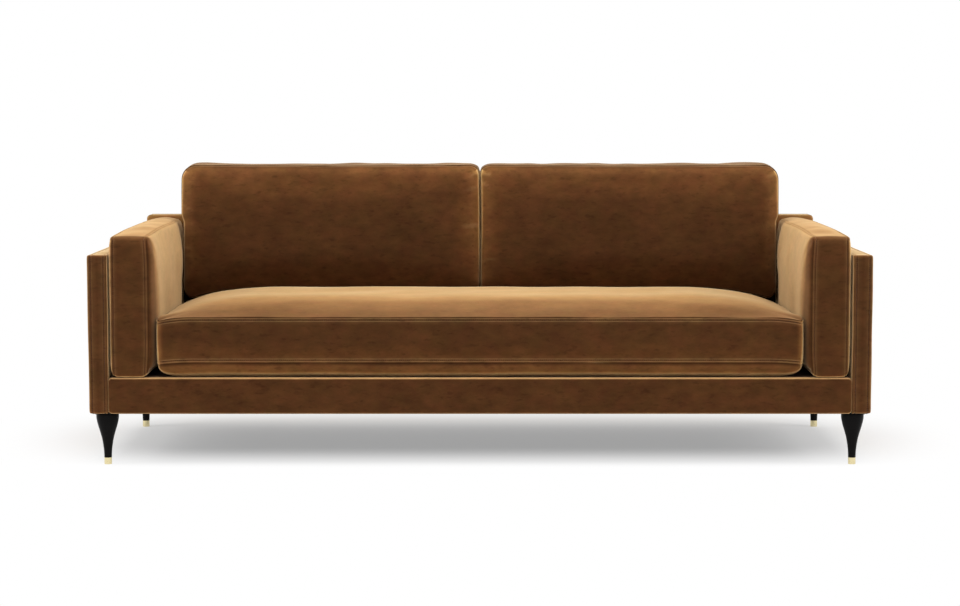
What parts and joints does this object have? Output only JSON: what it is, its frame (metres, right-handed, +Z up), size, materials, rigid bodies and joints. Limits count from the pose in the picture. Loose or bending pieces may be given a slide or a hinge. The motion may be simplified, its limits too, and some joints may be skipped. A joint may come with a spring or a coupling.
{
  "type": "tuxedo sofa",
  "caption": "Velvet sofa with thin box arms, a low back panel, a bench seat cushion, loose back and arm cushions, and turned black legs with metal caps.",
  "frame": {"origin": "on the floor under the middle of the sofa", "axes": "+Z up, +X to the right seen from the front, the front faces -Y"},
  "size_m": [2.31, 0.965, 0.877],
  "materials": {
    "velvet": "brown cotton velvet with a short pile",
    "foam": "open-cell foam",
    "fibre": "white fibre filling",
    "zip": "dark nylon coil zip",
    "dust_cloth": "black non-woven cloth",
    "deck_cloth": "brown lining cloth over felt",
    "webbing": "woven elastic webbing",
    "timber": "planed softwood and beech",
    "black_lacquer": "satin black lacquer",
    "brass": "brushed",
    "steel": "zinc plated"
  },
  "bodies": {
    "frame": {"front_rail": "timber", "back_rail": "timber", "left_side_rail": "timber", "right_side_rail": "timber", "seat_stretchers": "timber", "corner_blocks": "timber", "webbing_battens": "timber", "seat_webbing": "webbing", "seat_deck": "deck_cloth", "dust_cover": "dust_cloth", "front_rail_cover": "velvet", "left_arm_posts": "timber", "left_arm_top_rail": "timber", "left_arm_bottom_rail": "timber", "left_arm_cover": "velvet", "right_arm_posts": "timber", "right_arm_top_rail": "timber", "right_arm_bottom_rail": "timber", "right_arm_cover": "velvet", "back_posts": "timber", "back_top_rail": "timber", "back_lower_rail": "timber", "back_webbing": "webbing", "back_cover": "velvet", "arm_bolts": "steel", "back_bolts": "steel", "leg_plates": "steel", "leg_screws": "steel", "front_left_leg": "black_lacquer", "front_right_leg": "black_lacquer", "rear_left_leg": "black_lacquer", "rear_right_leg": "black_lacquer", "front_left_cap": "brass", "front_right_cap": "brass", "rear_left_cap": "brass", "rear_right_cap": "brass"},
    "seat_cushion": {"seat_cushion_cover": "velvet", "seat_cushion_foam": "foam", "seat_cushion_zip": "zip"},
    "left_back_cushion": {"left_back_cushion_cover": "velvet", "left_back_cushion_filling": "fibre", "left_back_cushion_zip": "zip"},
    "right_back_cushion": {"right_back_cushion_cover": "velvet", "right_back_cushion_filling": "fibre", "right_back_cushion_zip": "zip"},
    "left_arm_cushion": {"left_arm_cushion_cover": "velvet", "left_arm_cushion_foam": "foam", "left_arm_cushion_zip": "zip"},
    "right_arm_cushion": {"right_arm_cushion_cover": "velvet", "right_arm_cushion_foam": "foam", "right_arm_cushion_zip": "zip"}
  },
  "joints": [
    {"name": "seat_cushion_lift", "type": "slide", "parent": "frame", "child": "seat_cushion", "axis": [0, 0, 1], "range_m": [0, 0.46]},
    {"name": "left_back_cushion_lift", "type": "slide", "parent": "seat_cushion", "child": "left_back_cushion", "axis": [0, 0, 1], "range_m": [0, 0.3]},
    {"name": "right_back_cushion_lift", "type": "slide", "parent": "seat_cushion", "child": "right_back_cushion", "axis": [0, 0, 1], "range_m": [0, 0.3]},
    {"name": "left_arm_cushion_lift", "type": "slide", "parent": "frame", "child": "left_arm_cushion", "axis": [0, 0, 1], "range_m": [0, 0.45]},
    {"name": "right_arm_cushion_lift", "type": "slide", "parent": "frame", "child": "right_arm_cushion", "axis": [0, 0, 1], "range_m": [0, 0.45]}
  ]
}
